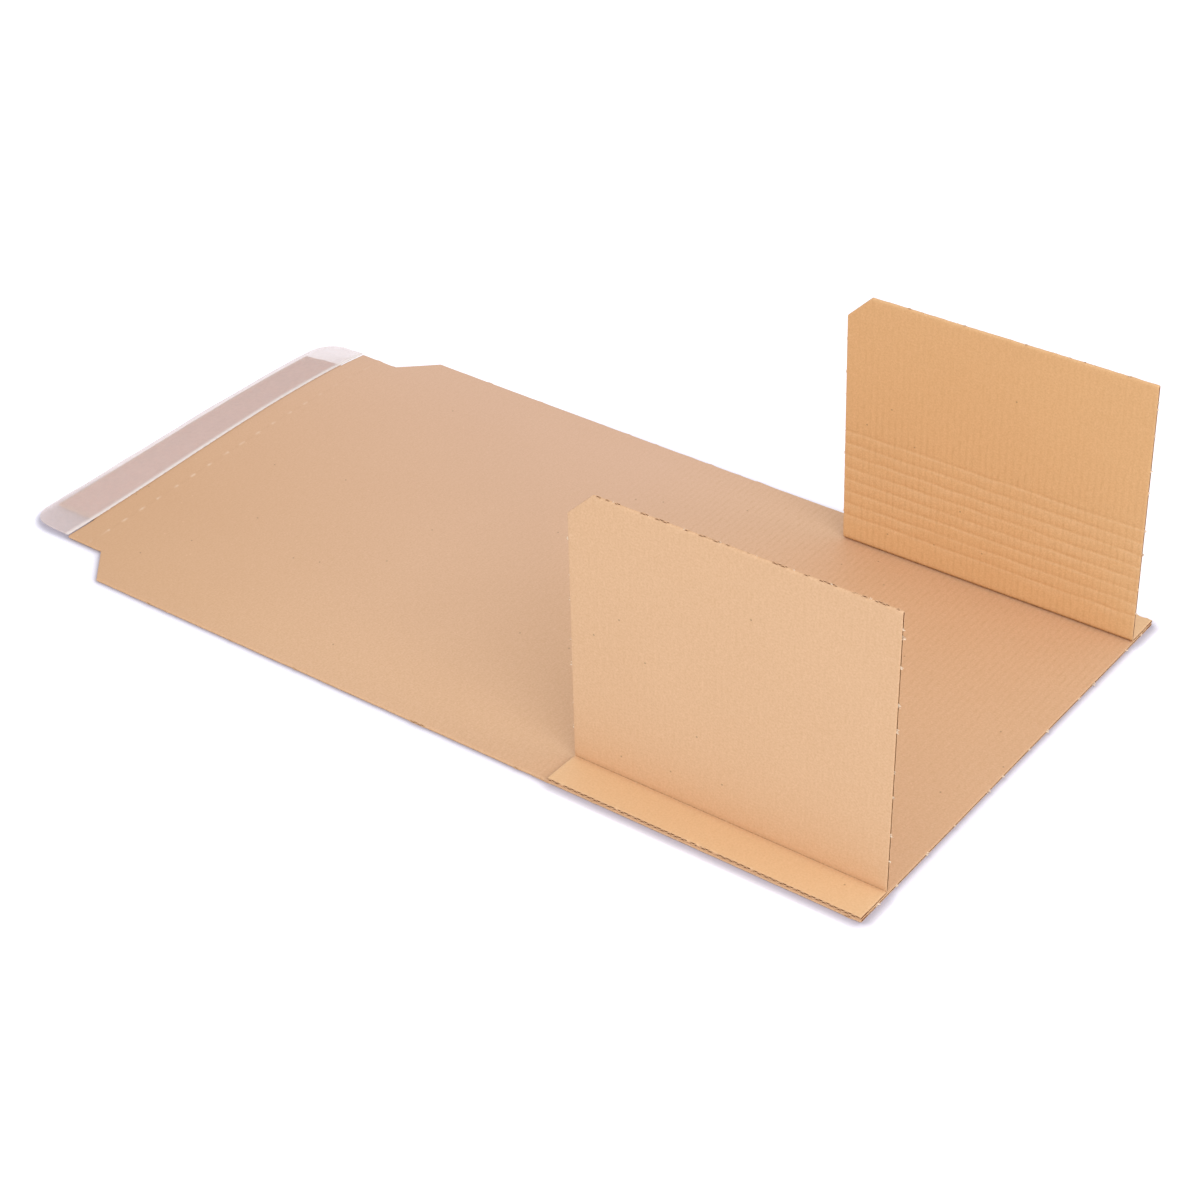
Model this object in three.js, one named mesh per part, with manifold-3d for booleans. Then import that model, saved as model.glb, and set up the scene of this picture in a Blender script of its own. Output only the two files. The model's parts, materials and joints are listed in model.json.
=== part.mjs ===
// Wraparound mailer of thin corrugated board, standing open: a long wrap sheet lying flat, two side flaps
// glued on near one end and folded up, and a self-seal strip on the tongue at the other end.
// Millimetres, Z up, X along the sheet with the flaps at the +X end, Y across it.
// Values marked fixed belong to the kind of board or paper, so another size of mailer keeps them.

import * as THREE from 'three';
import { mergeVertices } from 'three/addons/utils/BufferGeometryUtils.js';
import Module from 'manifold-3d';

// Main sizes
const sheet_width = 257;
const body_length = 416; // from the flap end to where the corners are cut away
const flap_length = 152; // along the sheet
const flap_height = 135; // from the fold to the free edge
const margin_width = 20; // glued strip outside each fold
const flap_corner = 12.5; // cut corner at the top of each flap, on the side of the long sheet
const bevel_along = 16;
const bevel_across = 19;
const tongue_length = 22; // from the bevels to the shoulders
const lip_length = 25; // narrow part under the seal strip
const lip_inset = 18; // lip's side to the tongue's side

// Board, all fixed
const board = 1.55; // thickness over both faces
const facing = 0.25; // one flat face paper
const flute_pitch = 3.35;
const flute_wall = 0.42; // wave paper, measured along the sheet
const crest_paper = 0.06; // share of the wave's height that its crests keep
const crushed = 1.0; // thickness where the fold is pressed
const crush_reach = 2.6; // how far the pressed part tapers back to full thickness
const past = 1; // how far each cut runs on past the board

// Fold lines
const fold_gap = 0.3; // free space round the foot of a flap
const foot_play = 0.02; // so that the round foot turns freely
const foot_steps = 8;
const near_lean = 2; // degrees outward, as it stands
const far_lean = 4; // degrees inward, as it stands
const crease_count = 8; // height creases on the inner face of each flap
const crease_first = 14.1;
const crease_step = 6.7;
const crease_width = 1.2;
const crease_depth = 0.15;

// Tear line across the tongue
const tear_from_bevels = 9.5;
const slit_length = 8;
const slit_tie = 4;
const slit_width = 0.6;

// Seal strip
const glue_width = 20;
const glue_inset = 2; // from the lip's sides and end
const glue_thick = 0.15;
const liner_overhang = 2; // past the lip's end
const liner_to_shoulder = 1.5;
const liner_thick = 0.15;
const liner_corner = 8;
const corner_steps = 6;

// Values that follow
const half_width = sheet_width / 2;
const fold_at = half_width - margin_width; // fold lines, to each side of the middle
const tongue_half = half_width - bevel_across;
const full_length = body_length + bevel_along + tongue_length + lip_length;
const flap_end = (full_length + liner_overhang) / 2; // the +X end, with the whole piece centred on X = 0
const bevel_x = flap_end - body_length;
const notch_x = bevel_x - bevel_along;
const shoulder_x = notch_x - tongue_length;
const lip_x = shoulder_x - lip_length;
const lip_half = tongue_half - lip_inset;
const fold_z = board * 1.5; // middle of the glued strips' thickness
const core = board - 2 * facing;

const wasm = await Module();
wasm.setup();

function solid_from(geometry) {
  const plain = geometry.index ? geometry.toNonIndexed() : geometry;
  const bare = new THREE.BufferGeometry();
  bare.setAttribute('position', plain.getAttribute('position'));
  const merged = mergeVertices(bare, 1e-5);
  const vertProperties = new Float32Array(merged.getAttribute('position').array);
  const triVerts = new Uint32Array(merged.index.array);
  return new wasm.Manifold(new wasm.Mesh({ numProp: 3, vertProperties, triVerts }));
}

// Pieces are made for the far side, +Y. The near side's copies are mirrored, with their faces turned to match.
function geometry_from(solid, side) {
  const mesh = solid.getMesh();
  const points = new Float32Array(mesh.vertProperties);
  const corners = new Uint32Array(mesh.triVerts);
  if (side < 0) {
    for (let i = 1; i < points.length; i += 3) points[i] = -points[i];
    for (let i = 0; i < corners.length; i += 3) [corners[i], corners[i + 1]] = [corners[i + 1], corners[i]];
  }
  const geometry = new THREE.BufferGeometry();
  geometry.setAttribute('position', new THREE.BufferAttribute(points, 3));
  geometry.setIndex(new THREE.BufferAttribute(corners, 1));
  return geometry;
}

function path_of(points, Kind) {
  const path = new Kind();
  path.moveTo(points[0][0], points[0][1]);
  for (const [x, y] of points.slice(1)) path.lineTo(x, y);
  path.closePath();
  return path;
}

// An outline drawn in X and Y, made into a solid between two heights.
function plate(points, z_low, z_high) {
  const shape = path_of(points, THREE.Shape);
  const geometry = new THREE.ExtrudeGeometry(shape, { depth: z_high - z_low, bevelEnabled: false });
  geometry.translate(0, 0, z_low);
  return geometry;
}

// An outline drawn in Y and Z, made into a solid between two places along X.
function bar(points, x_low, x_high) {
  const shape = path_of(points, THREE.Shape);
  const geometry = new THREE.ExtrudeGeometry(shape, { depth: x_high - x_low, bevelEnabled: false });
  geometry.applyMatrix4(new THREE.Matrix4().set(0, 0, 1, x_low, 1, 0, 0, 0, 0, 1, 0, 0, 0, 0, 0, 1));
  return geometry;
}

// The hollows of corrugated board lying flat from z = 0, its flutes running along Y: the wave paper
// leaves a row of three-sided channels below it and a row above it.
function flutes(x_low, x_high, y_low, y_high) {
  const count = Math.floor((x_high - x_low - flute_wall) / flute_pitch);
  const start = (x_low + x_high - count * flute_pitch) / 2;
  const reach = (flute_pitch - flute_wall) / 2;
  const low = facing;
  const high = board - facing;
  const half_wave = (high - low) * crest_paper;
  const channels = [];
  for (let i = 0; i < count; i += 1) {
    const x = start + (i + 0.5) * flute_pitch;
    channels.push(path_of([[x - reach, low], [x + reach, low], [x, high - half_wave]], THREE.Shape));
    if (i === count - 1) continue;
    const next = x + flute_pitch / 2;
    channels.push(path_of([[next - reach, high], [next, low + half_wave], [next + reach, high]], THREE.Shape));
  }
  const geometry = new THREE.ExtrudeGeometry(channels, { depth: y_high - y_low, bevelEnabled: false });
  geometry.rotateX(Math.PI / 2);
  geometry.translate(0, y_high, 0);
  return geometry;
}

function wrap_sheet() {
  const outline = [
    [flap_end, -half_width],
    [flap_end, half_width],
    [bevel_x, half_width],
    [notch_x, tongue_half],
    [shoulder_x, tongue_half],
    [shoulder_x, lip_half],
    [lip_x, lip_half],
    [lip_x, -lip_half],
    [shoulder_x, -lip_half],
    [shoulder_x, -tongue_half],
    [notch_x, -tongue_half],
    [bevel_x, -half_width],
  ];
  let sheet = solid_from(plate(outline, 0, board));
  sheet = sheet.subtract(solid_from(flutes(lip_x, flap_end, -half_width - past, half_width + past)));
  const step = slit_length + slit_tie;
  const slits = Math.floor((2 * tongue_half - slit_tie) / step);
  const tear_x = notch_x - tear_from_bevels;
  for (let i = 0; i < slits; i += 1) {
    const y = (i - (slits - 1) / 2) * step;
    const a = slit_length / 2;
    const b = slit_width / 2;
    const slot = [[tear_x - b, y - a], [tear_x + b, y - a], [tear_x + b, y + a], [tear_x - b, y + a]];
    sheet = sheet.subtract(solid_from(plate(slot, -past, board + past)));
  }
  return sheet;
}

// Glued strip: open flutes on the outer edge, pressed thin on the side of the fold.
function margin_strip() {
  const edge = fold_at + crushed / 2 + fold_gap;
  const full = edge + crush_reach;
  const x_low = flap_end - flap_length;
  const section = [[edge, 0], [half_width, 0], [half_width, board], [full, board], [edge, crushed]];
  const strip = solid_from(bar(section, x_low, flap_end));
  const hollow = solid_from(flutes(x_low, flap_end, full, half_width + past));
  return strip.subtract(hollow);
}

// Side flap standing straight up from its fold at the origin of Y and Z, inner face towards -Y.
function side_flap() {
  const foot = crushed / 2 - foot_play;
  const half = board / 2;
  const x_low = flap_end - flap_length;
  const section = [[half, crush_reach], [half, flap_height], [-half, flap_height], [-half, crush_reach]];
  for (let i = 0; i <= foot_steps; i += 1) {
    const angle = Math.PI * (1 + i / foot_steps);
    section.push([foot * Math.cos(angle), foot * Math.sin(angle)]);
  }
  const hollow = flutes(x_low, flap_end, crush_reach, flap_height + past);
  hollow.translate(0, 0, -half);
  hollow.rotateX(Math.PI / 2);
  let flap = solid_from(bar(section, x_low, flap_end)).subtract(solid_from(hollow));
  const cut_low = flap_height - flap_corner - past;
  const cut_top = flap_height + past;
  const outline = [[x_low - past, cut_low], [x_low + flap_corner + past, cut_top], [x_low - past, cut_top]];
  const corner = plate(outline, -board, board);
  corner.rotateX(Math.PI / 2);
  flap = flap.subtract(solid_from(corner));
  const spread = crease_width / 2 * (crease_depth + past) / crease_depth;
  for (let i = 0; i < crease_count; i += 1) {
    const z = crease_first + i * crease_step;
    const groove = [[-half - past, z - spread], [-half + crease_depth, z], [-half - past, z + spread]];
    flap = flap.subtract(solid_from(bar(groove, x_low - past, flap_end + past)));
  }
  return flap;
}

function rounded_end_outline(x_low, x_high, y_half, radius) {
  const points = [[x_high, -y_half], [x_high, y_half]];
  for (const side of [1, -1]) {
    for (let i = 0; i <= corner_steps; i += 1) {
      const turn = (side > 0 ? i : corner_steps - i) / corner_steps * Math.PI / 2;
      points.push([x_low + radius - radius * Math.sin(turn), side * (y_half - radius + radius * Math.cos(turn))]);
    }
  }
  return points;
}

function seal_glue() {
  const x_low = lip_x + glue_inset;
  const y = lip_half - glue_inset;
  const points = [[x_low, -y], [x_low + glue_width, -y], [x_low + glue_width, y], [x_low, y]];
  return plate(points, board, board + glue_thick);
}

function release_liner() {
  const points = rounded_end_outline(lip_x - liner_overhang, shoulder_x - liner_to_shoulder, tongue_half, liner_corner);
  return plate(points, board + glue_thick, board + glue_thick + liner_thick);
}

const kraft = { color: 0xdcb494, roughness: 0.9, metalness: 0 };
const sticky = { color: 0xc9a88f, roughness: 0.35, metalness: 0 };
const milky = { color: 0xe4d8d4, roughness: 0.45, metalness: 0 };

function piece(name, geometry, finish) {
  geometry.computeVertexNormals();
  const mesh = new THREE.Mesh(geometry, new THREE.MeshStandardMaterial(finish));
  mesh.name = name;
  return mesh;
}

// One side's fold: the strip lies on the sheet and the flap turns about the fold line.
function folded_side(name, side, lean) {
  const group = new THREE.Group();
  const strip = piece(`${name}_margin_strip`, geometry_from(margin_strip(), side), kraft);
  strip.position.z = board;
  const fold = new THREE.Group();
  fold.position.set(0, side * fold_at, fold_z);
  fold.rotation.x = side * THREE.MathUtils.degToRad(lean);
  fold.add(piece(`${name}_side_flap`, geometry_from(side_flap(), side), kraft));
  group.add(strip, fold);
  return group;
}

const part = new THREE.Group();
part.add(piece('wrap_sheet', geometry_from(wrap_sheet(), 1), kraft));
part.add(folded_side('near', -1, -near_lean));
part.add(folded_side('far', 1, far_lean));
part.add(piece('seal_glue', seal_glue(), sticky));
part.add(piece('release_liner', release_liner(), milky));

export default part;
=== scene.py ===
# %% [markdown]
# # A wraparound mailer of corrugated board
#
# The real thing is one long sheet of thin brown board. Near one end a side flap is glued on along
# each edge. A book lies between the flaps, the flaps fold in over it, the long end wraps round,
# and a sticky tongue closes it. The measured model is loaded first and stays where it is. Every
# piece below is drawn over it in metres; the long sheet and its two films move with the sheet's body.

# %% Load the measured model
import json
import math
import random

import bmesh
import bpy
import numpy as np
from mathutils import Euler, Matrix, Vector


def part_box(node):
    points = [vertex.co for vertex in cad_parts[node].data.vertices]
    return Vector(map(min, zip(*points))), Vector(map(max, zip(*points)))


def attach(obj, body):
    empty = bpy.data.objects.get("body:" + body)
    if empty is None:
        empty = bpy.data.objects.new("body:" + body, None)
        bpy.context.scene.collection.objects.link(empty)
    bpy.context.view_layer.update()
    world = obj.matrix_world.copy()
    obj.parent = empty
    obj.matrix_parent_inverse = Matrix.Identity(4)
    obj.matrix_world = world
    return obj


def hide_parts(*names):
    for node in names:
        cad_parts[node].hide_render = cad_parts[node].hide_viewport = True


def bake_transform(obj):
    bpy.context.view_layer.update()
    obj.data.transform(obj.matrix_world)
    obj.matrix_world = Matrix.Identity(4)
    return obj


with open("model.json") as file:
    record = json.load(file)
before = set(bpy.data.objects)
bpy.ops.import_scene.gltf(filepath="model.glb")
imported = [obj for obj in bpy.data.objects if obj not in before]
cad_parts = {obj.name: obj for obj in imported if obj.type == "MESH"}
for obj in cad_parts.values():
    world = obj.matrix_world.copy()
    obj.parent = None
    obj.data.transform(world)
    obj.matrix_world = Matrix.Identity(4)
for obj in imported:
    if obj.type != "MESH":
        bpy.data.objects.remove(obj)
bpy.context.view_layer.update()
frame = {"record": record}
mm = 0.001

# %% [markdown]
# The pieces take their sizes from the boxes of the measured model wherever those can tell them,
# so nothing here can drift away from it. The folds lie where the model's joints lie.

# %% Sizes from the model
sheet_low, sheet_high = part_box("wrap_sheet")
liner_low, liner_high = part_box("release_liner")
glue_low, glue_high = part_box("seal_glue")
joints = {joint["name"]: joint for joint in frame["record"]["behaviour"]["joints"]}
fold_y, fold_z = joints["far_fold"]["pos_m"][1:]

board = sheet_high.z - sheet_low.z
half_width = sheet_high.y
flap_start, flap_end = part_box("far_margin_strip")[0].x, sheet_high.x
print("board, mm:", round(board / mm, 2), " flap, mm:", round((flap_end - flap_start) / mm, 1))

# %% [markdown]
# What a box can't tell is written once here: how the sheet narrows to its tongue and lip, and
# how the flaps stand.

# %% Sizes written here
flap_height = 135 * mm
flap_corner = 12.5 * mm
near_lean = math.radians(2)
far_lean = math.radians(4)

bevel_x = flap_end - 416 * mm
notch_x = bevel_x - 16 * mm
shoulder_x = notch_x - 22 * mm
tear_x = notch_x - 9.5 * mm
lip_x = sheet_low.x
tongue_half = liner_high.y
lip_half = tongue_half - 18 * mm
print("tongue, mm:", round((notch_x - lip_x) / mm, 1), "long,", round(2 * tongue_half / mm, 1), "wide")

# %% [markdown]
# ## What corrugated board is made of
#
# Three papers: a flat facing, a wave, and a second flat facing. The open ends of the wave show
# as a row of small dark arches along every cut edge that crosses the flutes, and the flutes
# press a faint washboard through both facings. A texture could only paint the arches, and they
# would look flat from the side, so the three papers are modelled.

# %% Papers and flutes
facing = 0.25 * mm
wave_paper = 0.32 * mm
flute_pitch = 3.35 * mm
swell = 0.01 * mm
pressed = 1.0 * mm
UPPER, LOWER, CUT, WAVE = range(4)
print("flutes along a flap:", round((flap_end - flap_start) / flute_pitch, 1))

# %% [markdown]
# Board is all grids: rows run along the sheet and columns along the flutes. One class gathers
# the grids of a piece. Each point also gets its place on the flat sheet in millimetres, so that
# paper grain keeps its real scale, and a value for wear and painted light: above 0 where it is
# crushed and where shade is painted, below 0 where it is torn and where a highlight is painted.

# %% Gather grids


class Form:
    """Grids of points gathered into one shape, each face with its paper."""

    def __init__(self):
        self.points, self.maps, self.wear_and_shade_values = [], [], []
        self.quads, self.papers, self.count = [], [], 0

    def grid(self, points, x, s, worn, paper, flip=False):
        rows, columns, _ = points.shape
        index = self.count + np.arange(rows * columns).reshape(rows, columns)
        corners = [index[:-1, :-1], index[:-1, 1:], index[1:, 1:], index[1:, :-1]]
        quads = np.stack(corners, -1).reshape(-1, 4)
        self.quads.append(quads[:, ::-1] if flip else quads)
        self.papers.append(np.broadcast_to(paper, len(quads)))
        self.points.append(points.reshape(-1, 3))
        self.maps.append(np.stack([x, s], -1).reshape(-1, 2) / mm)
        self.wear_and_shade_values.append(np.broadcast_to(worn, x.shape).ravel())
        self.count += rows * columns


# %% [markdown]
# A gathered form becomes one mesh. Points that meet are merged, so that no seam opens where two
# grids touch, and the shading is smooth except over real edges.

# %% Turn a form into a piece
merge_distance = 0.004 * mm
crisp_angle = math.radians(35)


def make_piece(form, name, materials):
    mesh = bpy.data.meshes.new(name)
    mesh.from_pydata(np.concatenate(form.points).tolist(), [], np.concatenate(form.quads).tolist())
    corner = np.empty(len(mesh.loops), np.int32)
    mesh.loops.foreach_get("vertex_index", corner)
    size_map = mesh.uv_layers.new(name="board_mm")
    flat_places = np.concatenate(form.maps)[corner].astype(np.float32)
    size_map.data.foreach_set("uv", flat_places.ravel())
    worn = mesh.attributes.new("worn", "FLOAT", "POINT")
    worn.data.foreach_set("value", np.concatenate(form.wear_and_shade_values).astype(np.float32))
    for material in materials:
        mesh.materials.append(material)
    mesh.polygons.foreach_set("material_index", np.concatenate(form.papers).astype(np.int32))
    joined = bmesh.new()
    joined.from_mesh(mesh)
    bmesh.ops.remove_doubles(joined, verts=joined.verts, dist=merge_distance)
    joined.to_mesh(mesh)
    joined.free()
    piece = bpy.data.objects.new(name, mesh)
    bpy.context.collection.objects.link(piece)
    bpy.context.view_layer.objects.active = piece
    piece.select_set(True)
    bpy.ops.object.shade_smooth_by_angle(angle=crisp_angle)
    piece.select_set(False)
    print(name, "faces:", len(mesh.polygons))
    return piece


# %% [markdown]
# Die-cut paper is never a perfect line. One helper gives a gentle random wander for edges,
# always the same for the same seed, and one gives the flutes' phase along the sheet.

# %% Wander and waves


def smooth(t):
    t = np.clip(t, 0, 1)
    return t * t * (3 - 2 * t)


def wander(seed, count, bends):
    """A gentle random line of that many values between -1 and 1."""
    picker = random.Random(seed)
    knots = np.array([picker.uniform(-1, 1) for _ in range(bends + 2)])
    t = np.linspace(0, bends, count)
    k = np.minimum(t.astype(int), bends - 1)
    f = smooth(t - k)
    return knots[k] * (1 - f) + knots[k + 1] * f


def crest(x):
    """1 where the wave touches the upper facing, -1 where it touches the lower one."""
    return np.cos(2 * np.pi * (x - flap_end) / flute_pitch)


print("wander, for example:", [round(float(v), 2) for v in wander(1, 5, 3)])

# %% [markdown]
# The die pinches the two facings together where it cuts, more in one place than in the next, so
# the dark arches come and go along an edge. Where it cuts along a flute it only rounds the edge.

# %% Pinched edges
pinch_reach = 1.0 * mm
open_pinch, closed_pinch = 0.08 * mm, 0.48 * mm
side_sink, side_sink_reach = 0.14 * mm, 0.9 * mm


def pressed_down(distance, depth, reach):
    """How far a facing sinks at that distance from a cut edge."""
    t = np.clip(1 - distance / reach, 0, 1)
    return depth * t * t


def pinch(seed, count, share, bends):
    """Depth of the pinch along an edge; a greater share leaves fewer arches open."""
    closed = smooth((wander(seed, count, bends) + 2 * share - 0.6) / 0.6)
    return open_pinch + (closed_pinch - open_pinch) * closed


depths = pinch(1, 50, 0.5, 10) / mm
print("a pinch, mm:", round(float(depths.min()), 2), "to", round(float(depths.max()), 2))

# %% [markdown]
# ## One panel of board
#
# In a panel's grid, x runs along the sheet and s along the flutes. A middle surface gives each
# place its point, its upward direction and its thickness. From that come both facings, sunk at
# the cut edges. A relief can add creases, which differ between the two faces.

# %% Facings of a panel


def flat_relief(x, s, side):
    """Height, wear and painted shade of a facing with nothing pressed into it."""
    return 0, np.zeros_like(x)


def panel_faces(x, s, middle, pinches, cut_sides, relief):
    """Outer and inner surface of both facings, and the wear and painted shade on each."""
    point, up, thick = middle(x, s)
    firm = np.clip((thick - pressed) / (board - pressed), 0, 1)
    sink = pressed_down(np.abs(s - s[:1]), pinches[0], pinch_reach)
    sink += pressed_down(np.abs(s[-1:] - s), pinches[1], pinch_reach)
    sink += pressed_down(x - x[:, :1], side_sink, side_sink_reach) * cut_sides[0]
    sink += pressed_down(x[:, -1:] - x, side_sink, side_sink_reach) * cut_sides[1]
    faces = {}
    for side in (1, -1):
        height, worn = relief(x, s, side)
        off = thick / 2 - sink + swell * firm * crest(x) * side + height
        outer = point + up * (side * off)[..., None]
        under = point + up * (side * (off - facing))[..., None]
        faces[side] = outer, under, worn
    return faces


# %% [markdown]
# The wave is two surfaces a paper's thickness apart, so that its cut end shows. It only reaches
# a few rows in from the edge: nobody sees further into a flute that is one millimetre high. There
# a wall of the dark wave paper closes the flute, painted shade for the hollow beyond.

# %% The wave in an open end
wave_rows = [0, 3, 5]
half_paper = 0.6 * wave_paper


def pair(array, *picked):
    """Rows of an array, picked by number."""
    return array[list(picked)]


def add_open_end(form, x, s, faces, end):
    rows = [-1 - row for row in wave_rows] if end else wave_rows
    upper, lower = faces[1][1][rows], faces[-1][1][rows]
    x, s = x[rows], s[rows]
    gap = np.linalg.norm(upper - lower, axis=-1)
    half = np.minimum(0.45, half_paper / np.maximum(gap, 0.01 * mm))
    level = half + (1 - 2 * half) * (0.5 + 0.5 * crest(x))
    top = lower + (upper - lower) * (level + half)[..., None]
    bottom = lower + (upper - lower) * (level - half)[..., None]
    for surface, faces_down in ((upper, True), (lower, False), (top, False), (bottom, True)):
        form.grid(surface, x, s, 0, WAVE, flip=faces_down == (end > 0))
    # The back wall is painted shade: dark wave paper where the flute runs on.
    back = np.stack([lower[-1], upper[-1]])
    cut = np.stack([bottom[0], top[0]])
    form.grid(back, pair(x, -1, -1), pair(s, -1, -1), 0, WAVE, flip=end == 0)
    form.grid(cut, pair(x, 0, 0), pair(s, 0, 0), 0, CUT, flip=end == 0)


# %% [markdown]
# Between its two facings, a side that is cut along the flutes shows the wave paper. It lies a
# little inside the edge, and from a given row on it takes the dark wave finish as painted shade
# for open flutes.

# %% Sides cut along the flutes
wall_inset = 0.3 * mm


def column_pair(array, column):
    """One column of an array, twice."""
    return array[:, [column, column]]


def add_side_wall(form, x, s, faces, end, painted_shade_from):
    column = -end
    wall = np.stack([faces[-1][1][:, column], faces[1][1][:, column]], axis=1)
    row_middles = (s[:-1, column] + s[1:, column]) / 2
    # Painted shade: past a given row the wall takes the dark wave finish.
    paper = np.where(row_middles > painted_shade_from, WAVE, CUT)
    wall[..., 0] += (-1 if end else 1) * wall_inset
    form.grid(wall, column_pair(x, column), column_pair(s, column), 0, paper, flip=end > 0)


# %% [markdown]
# A whole panel is both facings, the thickness of their paper round the cut edges, the wave in
# both open ends, and the two sides. A side that joins another panel is left open.

# %% A whole panel


def add_panel(form, x, s, middle, pinches, cut_sides=(1, 1), relief=flat_relief, painted_shade_from=math.inf):
    faces = panel_faces(x, s, middle, pinches, cut_sides, relief)
    for side, paper in ((1, UPPER), (-1, LOWER)):
        outer, under, worn = faces[side]
        form.grid(outer, x, s, worn, paper, flip=side > 0)
        for end in (0, 1):
            rim = np.stack([outer[-end], under[-end]])
            ends_x, ends_s = pair(x, -end, -end), pair(s, -end, -end)
            form.grid(rim, ends_x, ends_s, 0, CUT, flip=(side > 0) == (end > 0))
            if np.any(cut_sides[end]):
                rim = np.stack([outer[:, -end], under[:, -end]], axis=1)
                sides_x, sides_s = column_pair(x, -end), column_pair(s, -end)
                form.grid(rim, sides_x, sides_s, 0, CUT, flip=(side < 0) == (end > 0))
    for end in (0, 1):
        add_open_end(form, x, s, faces, end)
        if np.any(cut_sides[end]):
            add_side_wall(form, x, s, faces, end, painted_shade_from)


# %% [markdown]
# Rows lie close together near the cut edges, where the pinch and the wave need them, and wide
# apart in between. There are eight columns to a flute on the flaps, whose edges show most, and
# six on the long sheet.

# %% Rows and columns
edge_steps = np.array([0, 0.25, 0.6, 1.2, 2.5, 5.0]) * mm
flap_samples, sheet_samples = 8, 6


def rows_across(length, spacing):
    inner = np.linspace(edge_steps[-1], length - edge_steps[-1], max(3, round(length / spacing)))
    return np.concatenate([edge_steps, inner[1:-1], length - edge_steps[::-1]])


def columns_along(low, high, samples_per_flute):
    columns = round((high - low) / flute_pitch * samples_per_flute) + 1
    return np.linspace(low, high, max(2, columns))


print("rows over 155 mm of board:", len(rows_across(155 * mm, 5 * mm)))

# %% [markdown]
# ## Torn ties
#
# The blanks are cut with small ties left standing, so that they stay in the sheet until they
# are pushed out. Each tie tears off as a tuft of pale fibres. A tuft is a few short slivers that
# fan out from the edge, which at this size looks more like torn paper than any rounded lump.

# %% Tufts of torn fibre
slivers = 6
near_edge = 0.1 * mm


def add_tuft(form, place, outward, along, size, picker):
    outward, along, place = (np.array(v, float) for v in (outward, along, place))
    across = np.cross(outward, along)
    for _ in range(slivers):
        root = place + along * picker.uniform(-0.5, 0.5) * size
        root = root + across * picker.uniform(-0.35, 0.35) * board * 0.7
        tip = root + outward * picker.uniform(0.25, 0.8) * size
        tip = tip + along * picker.uniform(-0.4, 0.4) * size
        tip = tip + across * picker.uniform(-0.2, 0.2) * size
        wide = along * picker.uniform(0.25, 0.45) + across * picker.uniform(-0.2, 0.2)
        wide = wide * size * 0.6
        thick = np.cross(wide, outward) * 0.25
        back = root - outward * 0.25 * size
        for half in (thick, -thick):
            foot = [back - wide + half, back + wide + half]
            point = [tip - wide * 0.35 + half * 0.3, tip + wide * 0.35 + half * 0.3]
            spot = np.full((2, 2), place[0])
            form.grid(np.array([foot, point]), spot, spot, -1, CUT, flip=half is not thick)


# %% [markdown]
# ## Kraft paper
#
# Unbleached kraft is a warm brown with a soft sheen, cloudy tone, faint fibres along the flutes,
# and a few dark and pale specks. It is mixed from noise at those scales. The sheen matters most:
# seen low across the sheet, the paper mirrors a little of the pale room and turns pinker, while
# paper that faces other paper keeps its deep tone. On the long sheet, part of that pinker sheen is
# painted into the colour. First come short names for the node calls.

# %% Paint with nodes


def srgb(red, green, blue):
    """The linear colour of a screen colour given in 0 to 255."""
    def one(c):
        c /= 255
        return c / 12.92 if c <= 0.04045 else ((c + 0.055) / 1.055) ** 2.4
    return (one(red), one(green), one(blue), 1)


class Paint:
    """A material or world whose nodes are made and joined in one call each."""

    def __init__(self, owner):
        owner.use_nodes = True
        self.tree = owner.node_tree
        self.tree.nodes.clear()

    def set(self, socket, value):
        if isinstance(value, bpy.types.NodeSocket):
            self.tree.links.new(value, socket)
        else:
            socket.default_value = value

    def node(self, kind, values=(), **settings):
        made = self.tree.nodes.new("ShaderNode" + kind)
        for key, value in settings.items():
            setattr(made, key, value)
        for key, value in dict(values).items():
            self.set(made.inputs[key], value)
        return made

    def maths(self, operation, first, second=0.0):
        return self.node("Math", {0: first, 1: second}, operation=operation).outputs[0]

    def mix(self, factor, first, second):
        return self.node("Mix", {0: factor, 6: first, 7: second}, data_type="RGBA").outputs[2]

    def band(self, value, low, high, to_low=0.0, to_high=1.0):
        """The value's way from low to high, as a way from one result to the other."""
        ends = {"Value": value, "From Min": low, "From Max": high, "To Min": to_low, "To Max": to_high}
        return self.node("MapRange", ends).outputs["Result"]


print("mid kraft, linear:", [round(c, 3) for c in srgb(223, 182, 143)[:3]])

# %% [markdown]
# Every pattern starts from the size map, so all scales below are per millimetre of flat board.

# %% Noise and specks


def noise(paint, place, stretch, scale, detail=2.0, rough=0.5):
    spot = paint.node("Mapping", {"Vector": place, "Scale": (*stretch, 1)}).outputs[0]
    values = {"Vector": spot, "Scale": scale, "Detail": detail, "Roughness": rough}
    return paint.node("TexNoise", values).outputs["Fac"]


def specks(paint, place, scale, size, share):
    """Small round spots, one in some of the cells of a random net."""
    net = paint.node("TexVoronoi", {"Vector": place, "Scale": scale}, voronoi_dimensions="2D")
    spot = paint.band(net.outputs["Distance"], size * scale, size * scale * 0.5)
    chance = paint.node("SeparateColor", {"Color": net.outputs["Color"]}).outputs[0]
    return paint.maths("MULTIPLY", spot, paint.maths("LESS_THAN", chance, share))


# %% [markdown]
# The tone is three noises that mix in a deeper or a paler shade: clouds some centimetres wide,
# fibres, and a fine grain. On the long sheet, light is painted in as well. A painted sheen makes
# it pinker on its far side, and painted shade makes it deeper towards the tongue, most on its near side.

# %% Paper tone
deeper = (0.80, 0.72, 0.62, 1)
paler = (1.10, 1.14, 1.22, 1)
# Painted sheen: the pinker tone that the long sheet's far side is mixed towards.
painted_sheen_tone = srgb(212, 176, 162)


def shade(tone, amounts):
    return tuple(min(1, c * k) for c, k in zip(tone, amounts))


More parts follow.
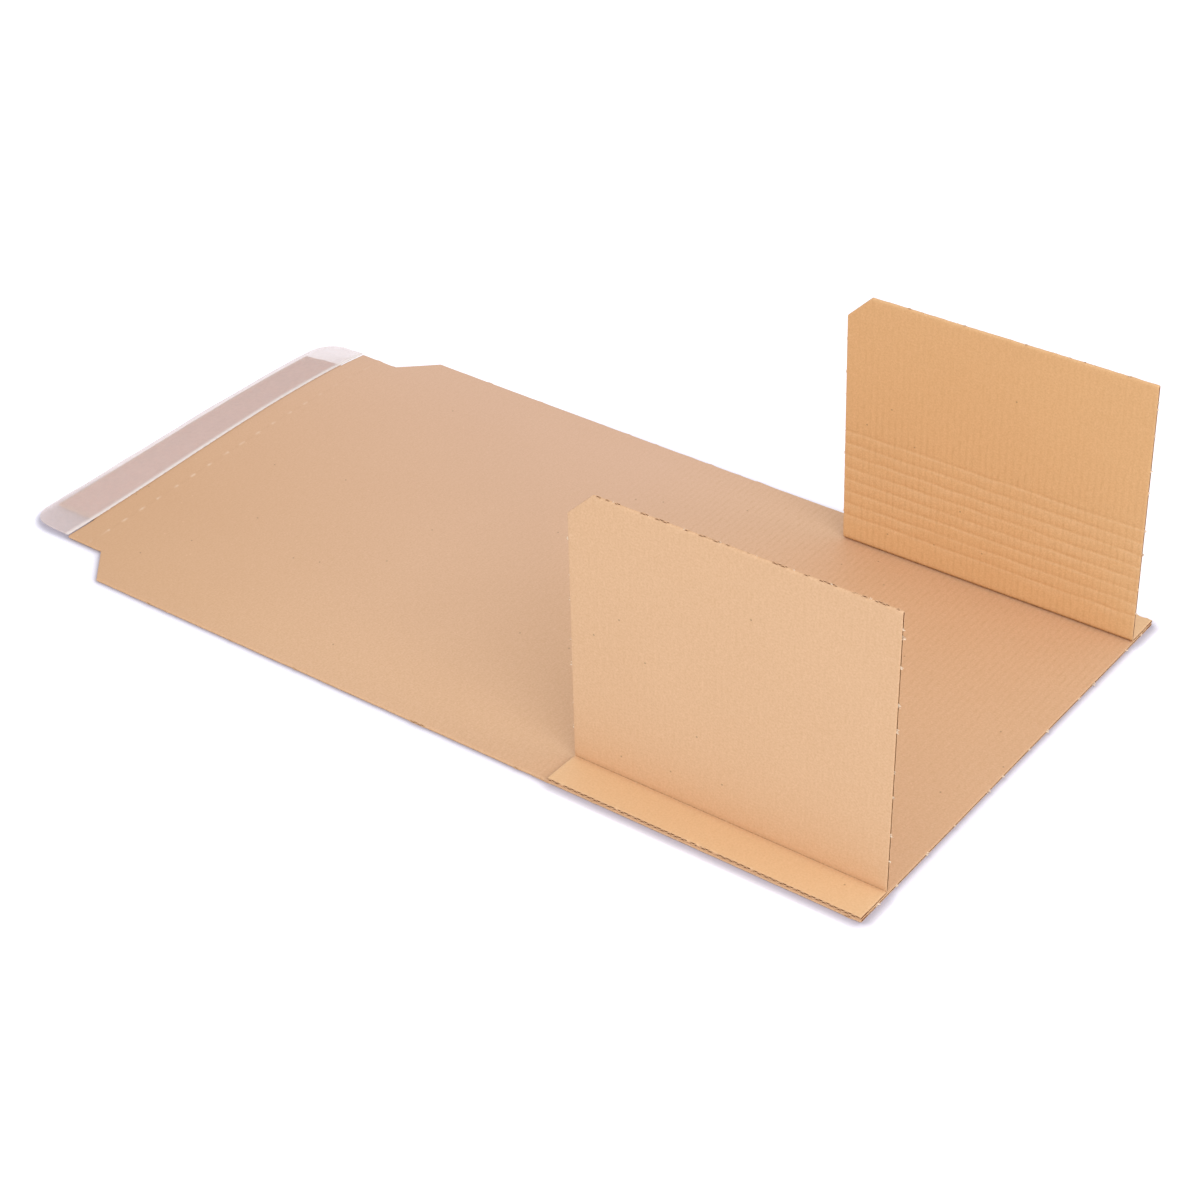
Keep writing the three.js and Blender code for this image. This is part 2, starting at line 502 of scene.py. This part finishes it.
def paper_tone(paint, place, tone, deep, pale):
    """The cloudy colour of the paper, and its fibres and grain."""
    clouds = noise(paint, place, (1, 1), 0.02, 3.0)
    fibres = noise(paint, place, (1.0, 0.45), 0.5, 5.0, 0.7)
    grain = noise(paint, place, (1, 1), 1.1, 3.0, 0.65)
    colour = paint.mix(paint.band(clouds, 0.3, 0.7, 0.0, 0.12), tone, deep)
    colour = paint.mix(paint.band(fibres, 0.35, 0.65, 0.0, 0.42), colour, pale)
    colour = paint.mix(paint.band(grain, 0.38, 0.68, 0.0, 0.5), colour, deep)
    return colour, fibres, grain


def painted_sheen_and_shade(paint, along, across, colour, deep, painted_light_drift):
    # Painted sheen: the far side is mixed towards a pinker tone.
    to_far_side = paint.band(across, -110, 110)
    painted_sheen_share = paint.maths("MULTIPLY", to_far_side, paint.band(along, 120, -20, 0.0, painted_light_drift))
    colour = paint.mix(painted_sheen_share, colour, painted_sheen_tone)
    # Painted shade: deeper towards the tongue and the near side.
    to_near_side = paint.band(across, 120, -60)
    painted_shade_share = paint.band(along, -60, -220, 0.0, 1.6 * painted_light_drift)
    return paint.mix(paint.maths("MULTIPLY", to_near_side, painted_shade_share), colour, deep)


# %% [markdown]
# The flutes press a washboard into a facing, and its troughs get painted shade in rows of short
# darker dashes, not clean stripes. They are clearer in some places than in others, so zones
# along or across the sheet can weaken them.

# %% Flutes that show through, with painted shade


def flute_ribs(paint, place, axes, fades):
    """The ridges over the flutes, and the noise that breaks them into dashes."""
    strength = 1.0
    for axis, full_at, faint_at, faint in fades:
        zone = paint.band(axes[axis], full_at, faint_at, 1.0, faint)
        strength = paint.maths("MULTIPLY", strength, zone)
    sway = paint.maths("MULTIPLY", noise(paint, place, (0.05, 0.02), 1.0), 1.6)
    turn = paint.maths("MULTIPLY", axes["X"], 2 * math.pi / (flute_pitch / mm))
    wave = paint.maths("COSINE", paint.maths("ADD", turn, sway))
    dashes = noise(paint, place, (0.9, 0.22), 1.0, 4.0, 0.7)
    return paint.maths("MULTIPLY", wave, strength), dashes


# %% [markdown]
# Wear goes on last. Crushed paper is darker and torn paper is pale, and the grain shows in
# both. The same value also paints shade at the folds, the slits and one flank of each crease,
# and a highlight on the creases' other flank. The relief is only for what is too fine to model:
# fibres, grain and the ribs' dashes.

# %% Wear, painted shade and fine relief
crush_and_shade_tone = (0.62, 0.52, 0.42, 1)
speck_shade = (0.45, 0.45, 0.45, 1)
torn_and_highlight_tone = srgb(244, 226, 204)
relief_depth = 0.03 * mm


def specks_wear_and_shade(paint, place, grain, colour, deep, pale):
    dark_specks = paint.maths("MULTIPLY", specks(paint, place, 0.08, 0.55, 0.05), 0.6)
    pale_specks = paint.maths("MULTIPLY", specks(paint, place, 0.09, 0.55, 0.12), 0.45)
    colour = paint.mix(dark_specks, colour, shade(deep, speck_shade))
    colour = paint.mix(pale_specks, colour, pale)
    worn = paint.node("Attribute", attribute_name="worn").outputs["Fac"]
    broken = paint.band(grain, 0.3, 0.6, 0.55, 1.0)
    # Crushed paper and painted shade both turn deeper; torn fibre and painted highlights turn pale.
    crushed_and_shaded = paint.maths("MULTIPLY", paint.band(worn, 0, 1), broken)
    colour = paint.mix(crushed_and_shaded, colour, shade(deep, crush_and_shade_tone))
    return paint.mix(paint.band(worn, 0, -1), colour, torn_and_highlight_tone)


def fine_relief(paint, ridge, dashes, fibres, grain, rib_bump):
    ribs = paint.maths("MULTIPLY", ridge, paint.band(dashes, 0.2, 0.7))
    height = paint.maths("MULTIPLY", ribs, rib_bump)
    height = paint.maths("ADD", height, paint.maths("MULTIPLY", fibres, 0.35))
    height = paint.maths("ADD", height, paint.maths("MULTIPLY", grain, 0.3))
    bump = paint.node("Bump", {"Height": height, "Strength": 1.0, "Distance": relief_depth})
    return bump.outputs["Normal"]


# %% [markdown]
# The same paper has five finishes here: the sheet's face, the outer and the inner face of the
# flaps, cut edges, and the brown wave inside, whose dark tone is also painted shade for the
# hollow flutes. On the outer face, the strip that is glued down is painted a little lighter and
# yellower than the flap above its fold, as painted light from above.

# %% Kraft finish
lit_strip_ends, lit_strip_full = 23, 15


def kraft(name, tone, ribs=0.0, rib_bump=0.0, fades=(), painted_light_drift=0.0, lit_strip_tone=None,
          roughness=0.62, shine=0.5):
    material = bpy.data.materials.new(name)
    paint = Paint(material)
    place = paint.node("UVMap", uv_map="board_mm").outputs["UV"]
    axes = paint.node("SeparateXYZ", {"Vector": place}).outputs
    deep, pale = shade(tone, deeper), shade(tone, paler)
    colour, fibres, grain = paper_tone(paint, place, tone, deep, pale)
    if painted_light_drift:
        colour = painted_sheen_and_shade(paint, axes["X"], axes["Y"], colour, deep, painted_light_drift)
    # Painted light: the strip lying flat is mixed towards a lighter, yellower tone.
    if lit_strip_tone:
        painted_light_on_strip = paint.band(axes["Y"], lit_strip_ends, lit_strip_full, 0.0, 0.22)
        colour = paint.mix(painted_light_on_strip, colour, lit_strip_tone)
    ridge, dashes = flute_ribs(paint, place, axes, fades)
    # Painted shade in the washboard's troughs, between the ridges over the flutes.
    painted_trough_shade = paint.maths("MULTIPLY", paint.band(ridge, 0.1, -0.8), paint.band(dashes, 0.42, 0.66))
    colour = paint.mix(paint.maths("MULTIPLY", painted_trough_shade, ribs), colour, deep)
    colour = specks_wear_and_shade(paint, place, grain, colour, deep, pale)
    normal = fine_relief(paint, ridge, dashes, fibres, grain, rib_bump)
    values = {"Base Color": colour, "Roughness": roughness, "Specular IOR Level": shine, "Normal": normal}
    shader = paint.node("BsdfPrincipled", values)
    paint.node("OutputMaterial", {"Surface": shader.outputs["BSDF"]})
    print("finish:", name)
    return material


# %% [markdown]
# The ribs fade along and across the sheet towards its near side and its tongue, and on the
# flaps' inner face they fade above the creases. Zones are in millimetres on the size map: where
# the ribs are full, where they are faint, and how faint.

# %% Mix the papers
sheet_fades = [("X", 60, -30, 0.1), ("Y", 90, -60, 0.3)]
flap_fades = [("Y", 80, 115, 0.28)]

sheet_paper = kraft("kraft_sheet_face", srgb(215, 174, 137), 0.42, 0.6, sheet_fades, painted_light_drift=0.35)
outer_paper = kraft("kraft_flap_outer_face", srgb(223, 182, 143), 0.08, 0.15,
                    lit_strip_tone=srgb(241, 208, 150))
inner_paper = kraft("kraft_flap_inner_face", srgb(225, 181, 131), 0.5, 0.8, flap_fades)
cut_paper = kraft("kraft_cut_edge", srgb(222, 180, 142), roughness=0.9, shine=0.2)
# Partly the wave paper's own deeper brown, partly painted shade for the hollow flutes.
wave_brown_and_shade = kraft("kraft_wave", srgb(128, 66, 26), roughness=0.9, shine=0.1)

# %% [markdown]
# ## Side boards
#
# Each side board is one piece of board: a strip glued along the sheet's edge, a fold, and the
# flap. It is drawn along one line from the strip's outer edge, round the fold and up the flap,
# and the board is pressed thin at the fold. Two separate plates would show a gap there as soon
# as the flap moves.

# %% The line of a side board
fold_radius = 1.1 * mm
press_reach = 2.6 * mm


def side_line(side, lean):
    """Middle surface of a side board, its length, and where along it the fold lies."""
    bend = math.pi / 2 - lean
    cut = fold_radius * math.tan(bend / 2)
    strip_run = half_width - fold_y - cut
    arc_run = fold_radius * bend
    fold_s = strip_run + arc_run / 2

    def middle(x, s):
        turn = np.clip((s - strip_run) / fold_radius, 0, bend)
        before, after = np.minimum(s, strip_run), np.maximum(s - strip_run - arc_run, 0)
        inward = before + fold_radius * np.sin(turn) + after * math.cos(bend)
        rise = fold_radius * (1 - np.cos(turn)) + after * math.sin(bend)
        point = np.stack([x, side * (half_width - inward), fold_z + rise], -1)
        up = np.stack([np.zeros_like(x), side * np.sin(turn), np.cos(turn)], -1)
        thick = pressed + (board - pressed) * smooth(np.abs(s - fold_s) / press_reach)
        return point, up, thick

    return middle, strip_run + arc_run + flap_height - cut, fold_s


print("near side board, mm:", round(side_line(-1, -near_lean)[1] / mm, 1), "from edge to edge")

# %% [markdown]
# The inner face of each flap has a ladder of height creases, so that it can fold over books of
# any height. They are shallow valleys that wander a little, with painted shade on one flank and a
# painted highlight on the other, and the paper between them bulges. The outer side of the fold is
# crushed along one broken line, and that line also carries painted shade for the corner between
# strip and flap. The inner side gets painted shade where the flap meets the sheet.

# %% Creases, the fold's wear and painted shade
crease_heights = [14.1 * mm + i * 6.7 * mm for i in range(8)]
crease_half = 1.7 * mm
crease_depth = 0.19 * mm
crease_sway = 0.35 * mm
bulge = 0.03 * mm
shaded_flank, bright_flank = 0.5 * mm, -0.9 * mm
crushed_half, bruised_half, foot_shade_half = 0.85 * mm, 3.0 * mm, 1.3 * mm


def outer_fold_crush_and_shade(from_fold):
    return 0.95 * smooth(1 - from_fold / crushed_half) + 0.08 * smooth(1 - from_fold / bruised_half)


def side_relief(fold_s):
    def relief(x, s, side):
        height, from_fold = np.zeros_like(x), np.abs(s - fold_s)
        # Outer side: crushing, plus painted shade in the corner along the fold.
        if side > 0:
            return height, outer_fold_crush_and_shade(from_fold)
        # Inner side: painted shade at the flap's foot.
        worn = smooth(1 - from_fold / foot_shade_half)
        for i, rise in enumerate(crease_heights):
            off = s - fold_s - rise - crease_sway * wander(90 + i, x.shape[1], 14)
            depth = 0.75 + 0.25 * wander(70 + i, x.shape[1], 22)
            height -= crease_depth * smooth(1 - np.abs(off) / crease_half) * depth
            # Painted shade on one flank of the crease, a painted highlight on the other.
            worn += 0.13 * depth * smooth(1 - np.abs(off - shaded_flank) / mm)
            worn -= 0.09 * depth * smooth(1 - np.abs(off - bright_flank) / mm)
        between = (s - fold_s > crease_heights[0]) & (s - fold_s < crease_heights[-1])
        return height + np.where(between, bulge, 0), worn
    return relief


print("creases, mm above the fold:", [round(rise / mm, 1) for rise in crease_heights])

# %% [markdown]
# The rows of a side board are densest round the fold and over each crease. The flap's cut
# corner is made by starting its uppermost rows further along.

# %% Grid of a side board
fold_rows = [0.13, 0.4, 0.7, 1.1, 1.7, 2.4, 3.2]
crease_rows = [-1.5, -1.0, -0.5, 0, 0.5, 1.0, 1.5]
row_clearance = 1.2 * mm
strip_wander, top_wander = 0.07 * mm, 0.09 * mm


def side_grid(total, fold_s, seed):
    corner_s = total - flap_corner
    fine = [fold_s + side * d * mm for d in fold_rows for side in (-1, 1)]
    fine += [fold_s + rise + d * mm for rise in crease_heights for d in crease_rows]
    coarse = [s for s in rows_across(total, 5 * mm) if min(abs(s - f) for f in fine) > row_clearance]
    rows = np.array(sorted(coarse + fine + [corner_s]))
    columns = len(columns_along(flap_start, flap_end, flap_samples))
    start = (flap_start + np.maximum(0, rows - corner_s))[:, None]
    x = start + (flap_end - start) * np.linspace(0, 1, columns)[None, :]
    s = np.repeat(rows[:, None], columns, axis=1)
    s[0] += strip_wander * wander(seed, columns, 60)
    s[-1] -= top_wander * (1 + wander(seed + 1, columns, 70))
    return x, s


print("side board grid:", side_grid(155 * mm, 20 * mm, 1)[0].shape)

# %% [markdown]
# Ties were left on both upright edges of each flap at uneven heights, and a row of smaller ones
# along its top.

# %% Ties of a flap
nick_heights = [15.6, 28.9, 48.1, 60.1, 80.1, 92.0, 109.8, 123.0, 126.9]
top_ties = 8
top_tie_step = 16.5 * mm
corner_starts = flap_height - flap_corner - mm


def add_flap_ties(form, side, lean, picker):
    up = np.array([0, -side * math.sin(lean), math.cos(lean)])
    foot = np.array([0, side * fold_y, fold_z])
    for height in nick_heights:
        for edge, out in ((flap_end, 1.0), (flap_start, -1.0)):
            if edge == flap_end or height * mm < corner_starts:
                place = foot + up * height * mm + np.array([edge - out * near_edge, 0, 0])
                add_tuft(form, place, (out, 0, 0), up, picker.uniform(1.1, 1.7) * mm, picker)
    for i in range(1, top_ties + 1):
        along = flap_start + flap_corner + (i - 0.4) * top_tie_step
        place = foot + up * (flap_height - 0.15 * mm) + np.array([along, 0, 0])
        add_tuft(form, place, up, (1, 0, 0), picker.uniform(0.5, 0.9) * mm, picker)


print("ties on a flap's free upright edge:", len(nick_heights))

# %% [markdown]
# A side board stands for two solids, the strip and the flap. The near board's edges show more
# open arches than the far one's, and its sides are painted dark between the facings, as shade
# for open flutes.

# %% Build both side boards
pinch_bends = 60


def side_board(name, side, lean, node_names, seed, shares, painted_shade_sides):
    middle, total, fold_s = side_line(side, lean)
    x, s = side_grid(total, fold_s, seed)
    pinches = [pinch(seed + 3 + end, x.shape[1], shares[end], pinch_bends) for end in (0, 1)]
    # Painted shade: the near board's sides turn dark above the fold.
    painted_shade_from = fold_s + 2 * mm if painted_shade_sides else math.inf
    form = Form()
    add_panel(form, x, s, middle, pinches, relief=side_relief(fold_s), painted_shade_from=painted_shade_from)
    add_flap_ties(form, side, lean, random.Random(seed + 2))

    piece = make_piece(form, name, [outer_paper, inner_paper, cut_paper, wave_brown_and_shade])
    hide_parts(*node_names)
    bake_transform(piece)


side_board("near_side_board", -1, -near_lean, ["near_margin_strip", "near_side_flap"],
           11, (0.12, 0.5), True)
side_board("far_side_board", 1, far_lean, ["far_margin_strip", "far_side_flap"],
           12, (0.5, 0.85), False)

# %% [markdown]
# ## The long sheet
#
# A sheet of board this long never lies quite flat. Its near corner touches the table and the
# tongue's middle and far corner rise a few millimetres, with the sticky end drooping again.
# The lift follows the place on the sheet, and glue and liner follow it too. Across the sheet it
# is given at a row of fixed places and runs straight between them, so that panels with few rows
# and panels with many meet without a crack.

# %% How the sheet lifts
lift_start = 60 * mm
lift_run = 250 * mm
lift_curve = 1.3
droop_start = shoulder_x + 8 * mm
droop_run = 35 * mm
droop_share = 0.42
lift_rows = half_width * np.concatenate([[-1], np.linspace(-0.75, 0.75, 19), [1]])
width_share = 0.5 + 0.5 * lift_rows / half_width
far_lift = 3.0 * mm * smooth(width_share)
middle_lift = 24 * mm * width_share ** 2 * (1 - width_share)


def lift(x, y):
    run = np.clip((lift_start - x) / lift_run, 0, 1.1) ** lift_curve
    droop = np.clip((droop_start - x) / droop_run, 0, 1) ** 2
    rise = np.interp(y, lift_rows, far_lift) + np.interp(y, lift_rows, middle_lift) * run
    return run * rise * (1 - droop_share * droop)


def sheet_middle(x, s):
    point = np.stack([x, s, board / 2 + lift(x, s)], -1)
    up = np.broadcast_to(np.array([0.0, 0.0, 1.0]), point.shape)
    return point, up, np.full_like(x, board)


print("lift at the tongue's middle, mm:", round(float(lift(shoulder_x, 0.0)) / mm, 2))

# %% [markdown]
# The tear line is a row of slits with short ties between them. On the real sheet the slits are
# almost closed and show as a fine line, and the ties stand up as pale spots, clearer on the near
# side. Both are pressed into the surface where the sheet is densest in points. The slits also get
# painted shade, and the ties are painted paler, less so towards the far side.

# %% Tear line
slit_step = 12 * mm
slit_length = 8 * mm
slit_count = math.floor((2 * tongue_half - (slit_step - slit_length)) / slit_step)
tear_reach = 1.0 * mm
tie_edge = 0.8 * mm
tie_height, slit_depth = 0.12 * mm, 0.06 * mm
ties_fade_over = 90 * mm


def tear_relief(x, s, side):
    turn = (s / slit_step + (slit_count + 1) / 2) % 1
    away = np.abs(turn - 0.5) * slit_step
    on_tongue = np.abs(s) < tongue_half - 2 * mm
    near_line = smooth(1 - np.abs(x - tear_x) / tear_reach)
    tie = smooth((away - slit_length / 2) / tie_edge) * on_tongue
    slit = smooth((slit_length / 2 - away) / tie_edge) * on_tongue
    height = near_line * (tie_height * tie - slit_depth * slit) * (side > 0)
    uneven = 0.7 + 0.5 * np.sin(0.9 * np.floor(s / slit_step) ** 2)
    shown = uneven * (1 - 0.75 * smooth(s / ties_fade_over))
    # Painted shade in the slits; the ties are painted paler.
    return height, near_line * (0.08 * slit - 0.36 * tie * shown)


print("slits across the tongue:", slit_count)

# %% [markdown]
# The sheet is four panels in a row: its body, the cut corners, the tongue and the lip. They
# share the fixed rows of the lift, so they meet without a crack. The tongue has seven rows for
# each of the others', because the slits are small.

# %% Panels of the long sheet
sheet = Form()
edge_wander = 0.06 * mm


def sheet_rows(half, columns, between):
    """Rows from one edge to the other: close together at the edges, fixed in between."""
    room = half[0] - edge_steps[-1] - 0.5 * mm
    fixed = lift_rows[np.abs(lift_rows) < room]
    steps = np.linspace(0, len(fixed) - 1, (len(fixed) - 1) * between + 1)
    fixed = np.interp(steps, np.arange(len(fixed)), fixed)
    near_rows = edge_steps[:, None] - half
    return np.concatenate([near_rows, np.repeat(fixed[:, None], columns, axis=1), -near_rows[::-1]])


def sheet_panel(low, high, half_low, half_high, seed, cut_from, cut_high, between=1, relief=flat_relief):
    xs = columns_along(low, high, sheet_samples)
    half = half_low + (half_high - half_low) * (xs - low) / (high - low)
    s = sheet_rows(half, len(xs), between)
    for row in (0, -1):
        s[row] += edge_wander * wander(seed - row, len(xs), max(3, len(xs) // 12))
    x = np.repeat(xs[None, :], len(s), axis=0)
    cut_low = (np.abs(s[:, :1]) > cut_from).astype(float)
    pinches = [pinch(seed + 3 + end, len(xs), 0.8, max(3, len(xs) // 10)) for end in (0, 1)]
    add_panel(sheet, x, s, sheet_middle, pinches, (cut_low, cut_high), relief)
    print("panel from", round(low / mm, 1), "to", round(high / mm, 1), "rows:", len(s))


sheet_panel(bevel_x, flap_end, half_width, half_width, 21, math.inf, 1)
sheet_panel(notch_x, bevel_x, tongue_half, half_width, 31, math.inf, 0)
sheet_panel(shoulder_x, notch_x, tongue_half, tongue_half, 41, lip_half, 0, 7, tear_relief)
sheet_panel(lip_x, shoulder_x, lip_half, lip_half, 51, 0, 0)

# %% [markdown]
# Torn ties stand out from the sheet's end under the flaps. Then the sheet is finished and
# joins its body, which also carries the glue and the liner.

# %% Finish the long sheet
end_ties = 12
picker = random.Random(5)
for i in range(end_ties):
    y = -half_width + (i + 0.5 + picker.uniform(-0.3, 0.3)) * 2 * half_width / end_ties
    place = (flap_end - near_edge, y, board * 0.6)
    add_tuft(sheet, place, (1, 0, 0), (0, 1, 0), picker.uniform(1.1, 1.8) * mm, picker)

wrap = make_piece(sheet, "wrap_board", [sheet_paper, outer_paper, cut_paper, wave_brown_and_shade])
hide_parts("wrap_sheet")
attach(wrap, "wrap")

# %% [markdown]
# ## Glue band and release liner
#
# The tongue is closed by a band of sticky film on the lip. A milky siliconed liner covers it and
# overhangs its ends, so that a finger can catch it. Both are thin films laid on the lifted
# tongue. The liner's outer corners are round, its free edge ripples a little, and its inner edge
# is doubled over as a hem.

# %% Shape of a film
film_rows, film_columns = 240, 18
column_bunching = 1.7


def film_grid(low, high, corner):
    """Places on a film with round corners at its low end, and the share of its width."""
    y = np.linspace(-1, 1, film_rows) * high.y
    from_end = np.maximum(0, corner - (high.y - np.abs(y)))
    cut = corner - np.sqrt(np.maximum(0, corner ** 2 - from_end ** 2))
    t = 1 - np.linspace(1, 0, film_columns)[None, :] ** column_bunching
    x = (low.x + cut)[:, None] + (high.x - low.x - cut)[:, None] * t
    return x, np.repeat(y[:, None], film_columns, axis=1), t


def film_form(low, high, x, s, base, hem):
    """Both faces of a film and its edges, with wear 1 over the hem."""
    film, sheets = Form(), {}
    worn = smooth(1.4 - 1.4 * (high.x - x) / hem) if hem else np.zeros_like(x)
    for side in (1, -1):
        thick = (high.z - low.z) if side > 0 else 0
        sheets[side] = np.stack([x, s, base + thick], -1)
        film.grid(sheets[side], x, s, worn, 0, flip=side < 0)
    for end in (0, -1):
        rim = np.stack([sheets[-1][end], sheets[1][end]])
        film.grid(rim, pair(x, end, end), pair(s, end, end), 0, 0, flip=end == 0)
        rim = np.stack([sheets[-1][:, end], sheets[1][:, end]], 1)
        film.grid(rim, column_pair(x, end), column_pair(s, end), 0, 0, flip=end != 0)
    return film


# %% [markdown]
# Both films are clear plastic with a milky body. A partly see-through surface shows the brown
# lip through it as a dull pink, leaves the ends over the table paler, and makes the doubled hem
# almost white. True refraction would cost time and show nothing more in so thin a film.

# %% Film finish


def film_finish(name, colour, second, hem_colour, cover, hem_cover, roughness):
    material = bpy.data.materials.new(name)
    paint = Paint(material)
    place = paint.node("UVMap", uv_map="board_mm").outputs["UV"]
    worn = paint.node("Attribute", attribute_name="worn").outputs["Fac"]
    patches = paint.band(noise(paint, place, (1, 1), 0.35, 4.0, 0.65), 0.35, 0.65)
    fine = noise(paint, place, (1, 1), 1.6)
    tint = paint.mix(worn, paint.mix(patches, colour, second), hem_colour)
    body = paint.band(worn, 0, 1, cover, hem_cover)
    density = paint.maths("ADD", paint.band(patches, 0, 1, -0.04, 0.04), body)
    bump = paint.node("Bump", {"Height": fine, "Strength": 0.6, "Distance": 0.04 * mm})
    values = {"Base Color": tint, "Alpha": density, "Roughness": roughness}
    shader = paint.node("BsdfPrincipled", {**values, "Normal": bump.outputs["Normal"]})
    paint.node("OutputMaterial", {"Surface": shader.outputs["BSDF"]})
    return material


glue_brown = srgb(246, 190, 154)
glue_finish = film_finish("seal_glue_film", glue_brown, srgb(234, 174, 140), glue_brown, 0.6, 0.6, 0.35)
liner_finish = film_finish("milky_liner", srgb(238, 220, 216), srgb(228, 208, 203),
                           srgb(244, 234, 230), 0.39, 0.76, 0.38)
print("film finishes:", glue_finish.name, liner_finish.name)

# %% [markdown]
# The glue lies flat on the lip. The liner lies over it, reaches the tongue's shoulders, and its
# ripples stand up at the free edge only.

# %% Lay both films on the tongue
liner_corner = 13 * mm
hem_width = 3.0 * mm
ripple_height = 0.2 * mm


def lay_film(name, form, material, node_name):
    piece = make_piece(form, name, [material])
    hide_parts(node_name)
    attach(piece, "wrap")


x, s, t = film_grid(glue_low, glue_high, 0)
glue_base = glue_low.z + 0.02 * mm + lift(x, s)
glue_form = film_form(glue_low, glue_high, x, s, glue_base, 0)
lay_film("glue_band", glue_form, glue_finish, "seal_glue")

liner_edge = Vector((shoulder_x - 0.2 * mm, liner_high.y, liner_high.z))
x, s, t = film_grid(liner_low, liner_edge, liner_corner)
ripple = ripple_height * (wander(62, film_rows, 17) + 1)[:, None] * (1 - t) ** 3
liner_base = liner_low.z + 0.05 * mm + lift(x, s) + ripple
liner_form = film_form(liner_low, liner_edge, x, s, liner_base, hem_width)
lay_film("liner_film", liner_form, liner_finish, "release_liner")

# %% [markdown]
# ## Table, room and lamps
#
# The mailer lies on a white table in a white room. The table and the room only look white to
# the camera and in reflections; the light they give the board stays plain. Close to the board
# the table's glow is taken away, which paints the narrow shadow that shows where it touches; its
# cool colour is a painted tint that only the camera sees.

# %% White table
table_half = 6
shadow_reach = 5.5 * mm
shadow_power = 8.0
table_glow = 0.6
tint_for_board = (0.78, 0.78, 0.77, 1)
# The camera's tint gives the painted contact shadow its cool colour.
shadow_tint_for_camera = (0.555, 0.535, 0.635, 1)


def seen_directly(paint):
    """1 for what the camera sees, also in a mirror or through film, and 0 for light on the board."""
    path = paint.node("LightPath").outputs
    seen = paint.maths("MAXIMUM", path["Is Camera Ray"], path["Is Glossy Ray"])
    return paint.maths("MAXIMUM", seen, path["Is Transmission Ray"])


table_mesh = bpy.data.meshes.new("table")
square = bmesh.new()
bmesh.ops.create_grid(square, x_segments=1, y_segments=1, size=table_half)
square.to_mesh(table_mesh)
square.free()
table = bpy.data.objects.new("table", table_mesh)
table.location.z = -0.05 * mm
bpy.context.collection.objects.link(table)

table_paint = bpy.data.materials.new("white_table")
paint = Paint(table_paint)
seen = seen_directly(paint)
# Painted contact shadow: the glow fades close to the board.
near_board = paint.node("AmbientOcclusion", {"Distance": shadow_reach}, samples=16)
open_sky = paint.maths("POWER", near_board.outputs["AO"], shadow_power)
strength = paint.maths("MULTIPLY", paint.maths("MULTIPLY", open_sky, seen), table_glow)
glow = paint.node("Emission", {"Color": (1.0, 1.0, 1.0, 1), "Strength": strength})
tint = paint.mix(seen, tint_for_board, shadow_tint_for_camera)
matt = paint.node("BsdfDiffuse", {"Color": tint})
both = paint.node("AddShader", {0: matt.outputs[0], 1: glow.outputs[0]})
paint.node("OutputMaterial", {"Surface": both.outputs[0]})
table_mesh.materials.append(table_paint)
print("table:", 2 * table_half, "m across, shadow within", shadow_reach / mm, "mm")

# %% [markdown]
# The room gives even light from all sides, a little less than it seems to have, because the
# lamps add the rest.

# %% White room
room_light, room_seen = 0.81, 1.0
world = bpy.data.worlds.new("white_room")
bpy.context.scene.world = world
paint = Paint(world)
strength = paint.band(seen_directly(paint), 0, 1, room_light, room_seen)
room = paint.node("Background", {"Color": (1, 1, 1, 1), "Strength": strength})
paint.node("OutputWorld", {"Surface": room.outputs[0]})
print("room light:", room_light)

# %% [markdown]
# Three large soft lamps stand low round the front. The one at the front right is strongest: it
# lights the near flap's outer face and the strip in front of it. The weak one on the left keeps
# the cut ends of the flaps from going dark.

# %% Soft lamps
softbox_side = 1.4


def softbox(name, place, power):
    lamp = bpy.data.lights.new(name, "AREA")
    lamp.shape = "RECTANGLE"
    lamp.size = lamp.size_y = softbox_side
    lamp.energy = power
    holder = bpy.data.objects.new(name, lamp)
    holder.location = place
    holder.rotation_euler = (-Vector(place)).to_track_quat("-Z", "Y").to_euler()
    bpy.context.collection.objects.link(holder)
    print("lamp", name, power, "W")


softbox("front_right", (1.9, -1.2, 1.3), 23)
softbox("right", (2.2, 0.0, 1.0), 11)
softbox("front_left", (-1.7, -1.2, 1.1), 7.3)

# %% [markdown]
# ## Camera
#
# The camera stands to the right and in front, a little over a metre away, and looks down on the
# mailer. The lens is long, so that the sheet's edges come together only a little.

# %% Camera
sensor_width = 36
lens = 76.353
camera_data = bpy.data.cameras.new("product_view")
camera_data.sensor_width = sensor_width
camera_data.lens = lens
camera_data.clip_start = 0.05
camera = bpy.data.objects.new("product_view", camera_data)
camera.location = (0.6018, -0.8016, 0.6474)
camera.rotation_euler = Euler([math.radians(v) for v in (56.703, -0.082, 35.908)])
bpy.context.collection.objects.link(camera)
bpy.context.scene.camera = camera
bpy.context.scene.view_settings.view_transform = "Standard"
print("lens, mm:", lens, " camera height, mm:", round(camera.location.z / mm))
